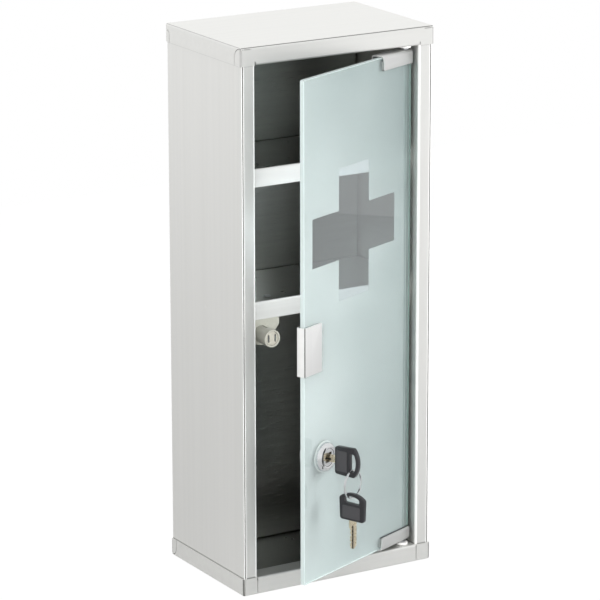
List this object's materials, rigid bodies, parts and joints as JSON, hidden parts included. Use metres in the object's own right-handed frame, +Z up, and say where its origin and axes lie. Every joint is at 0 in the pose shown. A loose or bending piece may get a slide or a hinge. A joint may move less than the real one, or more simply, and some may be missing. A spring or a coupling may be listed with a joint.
{
  "type": "glass door medicine cabinet",
  "caption": "Tall steel wall cabinet with shelves, folded seams and a frosted glass door with a clear cross, on pivot hinges, with a clip handle, cam lock with keys and a magnetic catch.",
  "frame": {"origin": "middle of the bottom tray's underside", "axes": "+X right as seen from the front, -Y is the front with the door, +Z up"},
  "size_m": [0.178, 0.1959, 0.45],
  "materials": {
    "stainless_steel": "fine satin",
    "frosted_glass": "frosted on the inner face, clear inside the cross",
    "black_rubber": "matt",
    "plated_steel": "zinc plated",
    "white_nylon": "satin",
    "chrome": "polished",
    "nickel_brass": "nickel plated",
    "black_plastic": "fine grain",
    "ivory_plastic": "satin",
    "ferrite": "bare"
  },
  "bodies": {
    "cabinet": {"left_side_panel": "stainless_steel", "right_side_panel": "stainless_steel", "back_panel": "stainless_steel", "top_cap": "stainless_steel", "bottom_tray": "stainless_steel", "upper_shelf": "stainless_steel", "lower_shelf": "stainless_steel", "top_pivot_bush": "white_nylon", "bottom_pivot_bush": "white_nylon", "catch_bracket": "ivory_plastic", "catch_insert": "ivory_plastic", "catch_magnet": "ferrite", "catch_pole_left": "plated_steel", "catch_pole_right": "plated_steel", "catch_rivet_left": "plated_steel", "catch_rivet_right": "plated_steel"},
    "door": {"door_glass": "frosted_glass", "door_handle": "stainless_steel", "handle_pad": "black_rubber", "top_hinge_clip": "stainless_steel", "top_hinge_liner": "black_rubber", "top_press_plate": "plated_steel", "top_grub_outer": "plated_steel", "top_grub_inner": "plated_steel", "top_pivot_pin": "plated_steel", "bottom_hinge_clip": "stainless_steel", "bottom_hinge_liner": "black_rubber", "bottom_press_plate": "plated_steel", "bottom_grub_outer": "plated_steel", "bottom_grub_inner": "plated_steel", "bottom_pivot_pin": "plated_steel", "lock_body": "chrome", "lock_gasket": "white_nylon", "lock_washer": "plated_steel", "lock_nut": "plated_steel"},
    "lock_cylinder": {"lock_plug": "plated_steel", "lock_cam": "plated_steel", "cam_screw": "plated_steel"},
    "key": {"key_blade": "nickel_brass", "key_bow": "black_plastic"},
    "ring": {"key_ring": "chrome"},
    "spare_key": {"spare_key_blade": "nickel_brass", "spare_key_bow": "black_plastic"}
  },
  "joints": [
    {"name": "door_hinge", "type": "hinge", "parent": "cabinet", "child": "door", "pos_m": [0.0669, -0.0515, 0.22475], "axis": [0, 0, 1], "range_deg": [-23, 82]},
    {"name": "lock_turn", "type": "hinge", "parent": "door", "child": "lock_cylinder", "pos_m": [-0.03758, -0.09585, 0.121], "axis": [-0.3907, 0.9205, 0], "range_deg": [0, 90]},
    {"name": "key_draw", "type": "slide", "parent": "lock_cylinder", "child": "key", "axis": [0.3907, -0.9205, 0], "range_m": [0, 0.018]},
    {"name": "ring_swing", "type": "hinge", "parent": "key", "child": "ring", "pos_m": [-0.02558, -0.12412, 0.11473], "axis": [-0.9205, -0.3907, 0], "range_deg": [-6, 45]},
    {"name": "spare_key_swing", "type": "hinge", "parent": "ring", "child": "spare_key", "pos_m": [-0.02558, -0.12412, 0.09223], "axis": [-0.9205, -0.3907, 0], "range_deg": [-6, 45]}
  ]
}
